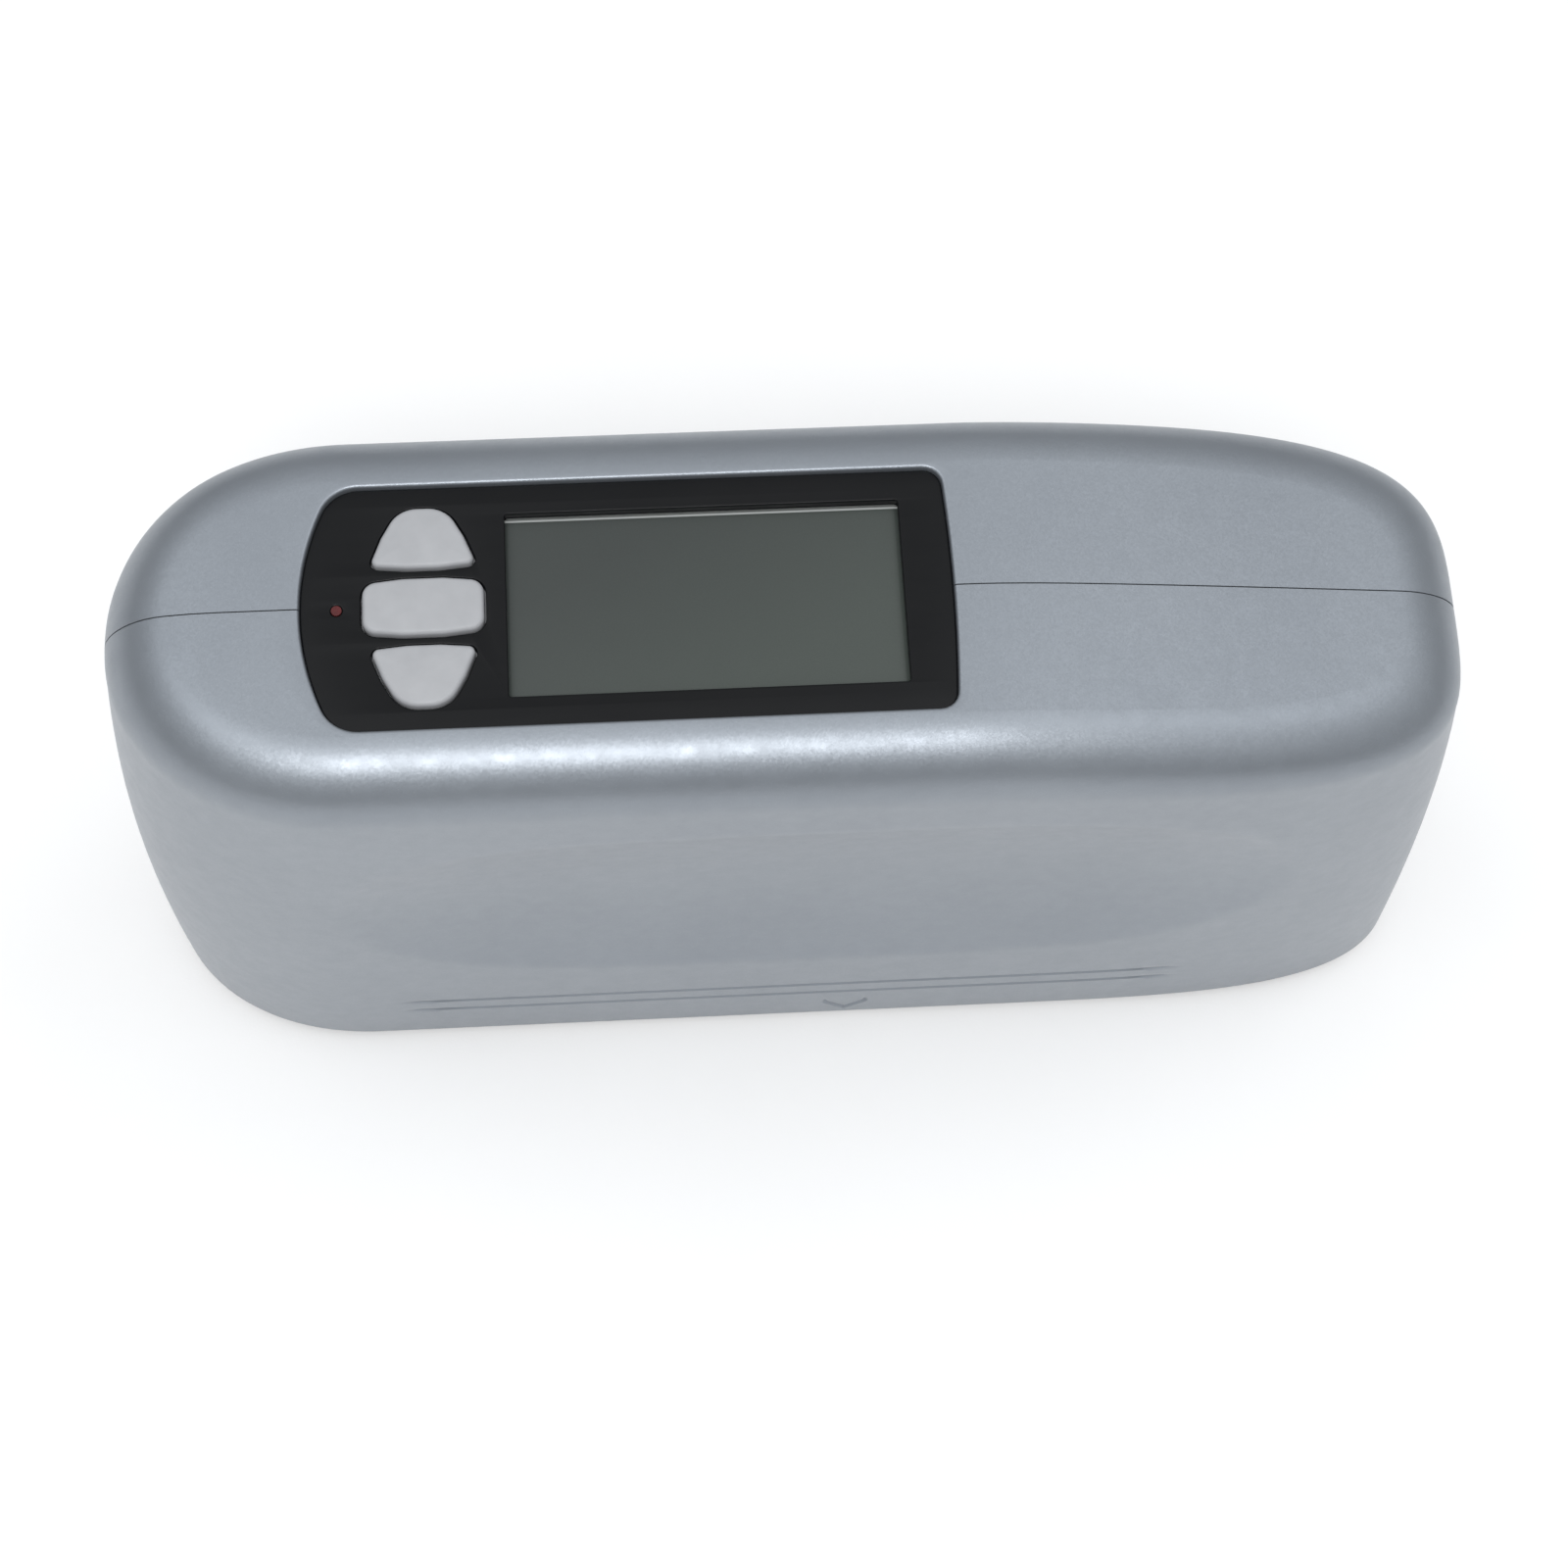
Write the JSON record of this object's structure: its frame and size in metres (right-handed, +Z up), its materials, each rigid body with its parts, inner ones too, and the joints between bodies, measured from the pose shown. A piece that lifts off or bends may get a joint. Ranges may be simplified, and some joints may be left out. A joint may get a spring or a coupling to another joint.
{
  "type": "gloss meter",
  "caption": "Hand-held gloss meter: narrow barrel-shaped grey case with a finger dish, black display panel with push buttons on top, and a flat measuring base with an optical port.",
  "frame": {"origin": "middle of the base, on its underside", "axes": "+X along the case from the buttons to the sloping end, +Y to the battery door side, +Z up through the display"},
  "size_m": [0.114, 0.0314, 0.0641],
  "materials": {
    "case_grey": "silver grey pearl paint, satin",
    "base_black": "black anodised, satin",
    "bench_black": "black anodised, matt",
    "panel_black": "satin black",
    "key_grey": "light grey, matt",
    "switch_black": "matt",
    "red_lens": "clear red, unlit",
    "led_body": "clear resin",
    "lcd_green": "grey green display, blank",
    "white_plastic": "matt white",
    "strip_rubber": "pink grey conductive strip",
    "board_green": "green solder mask",
    "chip_black": "moulded black",
    "lens_glass": "polished",
    "filter_green": "polished",
    "stop_black": "matt",
    "sensor_metal": "gilt can",
    "holder_black": "moulded black",
    "cell_wrap": "plain wrapped cell",
    "contact_steel": "nickel plated",
    "screw_steel": "zinc plated",
    "wire_red": "insulated wire",
    "wire_blue": "insulated wire"
  },
  "bodies": {
    "case": {"front_shell": "case_grey", "rear_shell": "case_grey", "base_plate": "base_black", "optical_block": "bench_black", "display_panel": "panel_black", "switch_up": "switch_black", "switch_ok": "switch_black", "switch_down": "switch_black", "light_pipe": "red_lens", "status_led": "led_body", "lcd_glass": "lcd_green", "lcd_holder": "white_plastic", "contact_strips": "strip_rubber", "main_board": "board_green", "lamp_board": "board_green", "sensor_board": "board_green", "board_parts": "chip_black", "lamp_led": "led_body", "condenser_lens": "lens_glass", "collimator_lens": "lens_glass", "receiver_lens": "lens_glass", "filter_glass": "filter_green", "source_stop": "stop_black", "receiver_stop": "stop_black", "photodiode": "sensor_metal", "battery_holder": "holder_black", "battery_cell": "cell_wrap", "contact_spring": "contact_steel", "contact_plate": "contact_steel", "case_screws": "screw_steel", "base_screws": "screw_steel", "optics_screws": "screw_steel", "holder_screws": "screw_steel", "lamp_leads": "wire_red", "sensor_leads": "wire_blue", "battery_leads": "wire_red"},
    "up_key": {"button_up": "key_grey", "plunger_up": "switch_black"},
    "ok_key": {"button_ok": "key_grey", "plunger_ok": "switch_black"},
    "down_key": {"button_down": "key_grey", "plunger_down": "switch_black"},
    "door": {"battery_door": "case_grey"}
  },
  "joints": [
    {"name": "up_press", "type": "slide", "parent": "case", "child": "up_key", "axis": [0, 0, -1], "range_m": [0, 0.0004], "stiffness_N_per_m": 2500},
    {"name": "ok_press", "type": "slide", "parent": "case", "child": "ok_key", "axis": [0, 0, -1], "range_m": [0, 0.0004], "stiffness_N_per_m": 2500},
    {"name": "down_press", "type": "slide", "parent": "case", "child": "down_key", "axis": [0, 0, -1], "range_m": [0, 0.0004], "stiffness_N_per_m": 2500},
    {"name": "battery_door_swing", "type": "hinge", "parent": "case", "child": "door", "pos_m": [0, 0.0133, 0.0349], "axis": [-1, 0, 0], "range_deg": [0, 85]}
  ]
}
